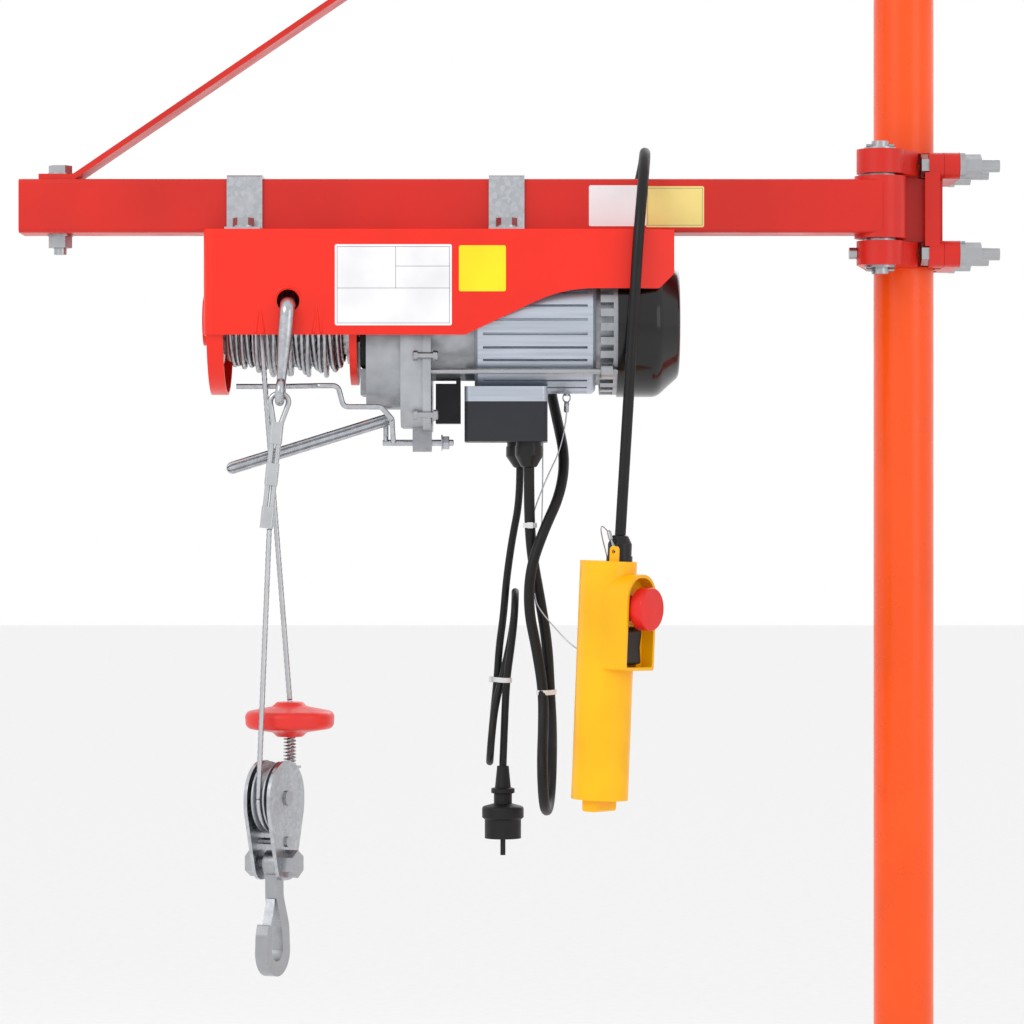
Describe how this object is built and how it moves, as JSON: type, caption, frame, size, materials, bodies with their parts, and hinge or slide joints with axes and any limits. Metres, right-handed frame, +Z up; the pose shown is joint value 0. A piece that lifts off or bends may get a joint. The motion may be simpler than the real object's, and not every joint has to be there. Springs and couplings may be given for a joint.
{
  "type": "jib crane",
  "caption": "Pole-mounted swivelling jib crane: braced square arm, rope hoist with hook block, stop disc and hand pendant.",
  "frame": {"origin": "centre of the base plate's underside, on the pole's axis", "axes": "+Z up along the pole, -X along the arm at rest, -Y towards the side the arm hangs on"},
  "size_m": [0.941, 0.3118, 2.008],
  "materials": {
    "pole_paint": "gloss paint",
    "jib_paint": "satin powder coat",
    "cover_paint": "gloss powder coat",
    "black_cap": "matte moulded",
    "zinc_steel": "zinc plated",
    "galvanised": "galvanised sheet",
    "black_rubber": "matte",
    "cast_aluminium": "as cast",
    "motor_aluminium": "as extruded",
    "black_gloss": "gloss moulded",
    "charcoal_plastic": "matte moulded",
    "black_plastic": "semi-gloss moulded",
    "switch_plastic": "matte moulded",
    "steel_rope": "stranded wire",
    "pendant_yellow": "satin moulded",
    "cable_rubber": "matte",
    "plug_rubber": "matte moulded",
    "tie_plastic": "matte",
    "disc_red": "satin moulded",
    "spring_steel": "bright wire",
    "hook_steel": "zinc plated forging",
    "button_red": "satin moulded",
    "rocker_black": "matte moulded"
  },
  "bodies": {
    "mast": {"base_plate": "pole_paint", "pole": "pole_paint", "pole_cap": "black_cap", "lower_bracket": "jib_paint", "upper_bracket": "jib_paint", "lower_clamp_bars": "jib_paint", "upper_clamp_bars": "jib_paint", "lower_clamp_bolts": "zinc_steel", "upper_clamp_bolts": "zinc_steel", "lower_pivot_pin": "zinc_steel", "upper_pivot_pin": "zinc_steel"},
    "jib": {"beam": "jib_paint", "brace": "jib_paint", "brace_bolt": "zinc_steel", "straps": "galvanised", "strap_bolts": "zinc_steel", "hoist_cover": "cover_paint", "drum_end_plates": "cover_paint", "gearbox_gasket": "black_rubber", "gearbox": "cast_aluminium", "motor_body": "motor_aluminium", "motor_end_ring": "cast_aluminium", "fan_cover": "black_gloss", "junction_box_base": "motor_aluminium", "junction_box_cover": "charcoal_plastic", "cable_glands": "black_plastic", "limit_switch": "switch_plastic", "rope_end_hook": "galvanised", "rope_end": "steel_rope", "rope_fall_drum": "steel_rope", "rope_fall_anchor": "steel_rope", "pendant_housing": "pendant_yellow", "pendant_gland": "black_plastic", "control_cable": "cable_rubber", "mains_cable": "cable_rubber", "mains_plug": "plug_rubber", "cable_ties": "tie_plastic"},
    "drum": {"drum": "zinc_steel", "rope_winding": "steel_rope"},
    "block": {"block_plates": "galvanised", "block_bolts": "zinc_steel", "stop_disc": "disc_red", "disc_spring": "spring_steel", "rope_on_sheave": "steel_rope"},
    "sheave": {"sheave": "cast_aluminium"},
    "hook": {"hook": "hook_steel"},
    "latch": {"hook_latch": "galvanised"},
    "lever": {"limit_lever": "galvanised"},
    "estop": {"estop_button": "button_red"},
    "rocker": {"rocker": "rocker_black"}
  },
  "joints": [
    {"name": "jib_swing", "type": "hinge", "parent": "mast", "child": "jib", "pos_m": [-0.029, -0.068, 1.3], "axis": [0, 0, 1], "range_deg": [-45, 135]},
    {"name": "hook_lift", "type": "slide", "parent": "jib", "child": "block", "axis": [0, 0, 1], "range_m": [-0.5, 0.1], "deforming": ["rope_fall_drum", "rope_fall_anchor"]},
    {"name": "drum_spin", "type": "hinge", "parent": "jib", "child": "drum", "pos_m": [-0.6, -0.068, 1.194], "axis": [1, 0, 0], "range_deg": [-360, 1440]},
    {"name": "sheave_spin", "type": "hinge", "parent": "block", "child": "sheave", "pos_m": [-0.5905, -0.143, 0.7545], "axis": [0.9135, -0.4067, 0], "range_deg": [-360, 1080]},
    {"name": "hook_tilt", "type": "hinge", "parent": "block", "child": "hook", "pos_m": [-0.5905, -0.143, 0.6945], "axis": [0.9135, -0.4067, 0], "range_deg": [-25, 25]},
    {"name": "hook_latch", "type": "hinge", "parent": "hook", "child": "latch", "pos_m": [-0.59335, -0.1494, 0.6615], "axis": [0.9135, -0.4067, 0], "range_deg": [0, 22], "stiffness_Nm_per_rad": 0.02, "springref_deg": -11.46},
    {"name": "limit_lever", "type": "hinge", "parent": "jib", "child": "lever", "pos_m": [-0.45, -0.082, 1.08], "axis": [-1, 0, 0], "range_deg": [-3, 8], "stiffness_Nm_per_rad": 4},
    {"name": "estop_press", "type": "slide", "parent": "jib", "child": "estop", "axis": [-0.8185, 0.5736, 0.0314], "range_m": [0, 0.004], "stiffness_N_per_m": 600},
    {"name": "rocker_tilt", "type": "hinge", "parent": "jib", "child": "rocker", "pos_m": [-0.26504, -0.17406, 0.89318], "axis": [0.5732, 0.8192, -0.022], "range_deg": [-5, 5], "stiffness_Nm_per_rad": 0.5}
  ],
  "couplings": [
    {"joint": "drum_spin", "follows": "hook_lift", "rad_per_m": -40.9},
    {"joint": "sheave_spin", "follows": "hook_lift", "rad_per_m": -32.26}
  ]
}
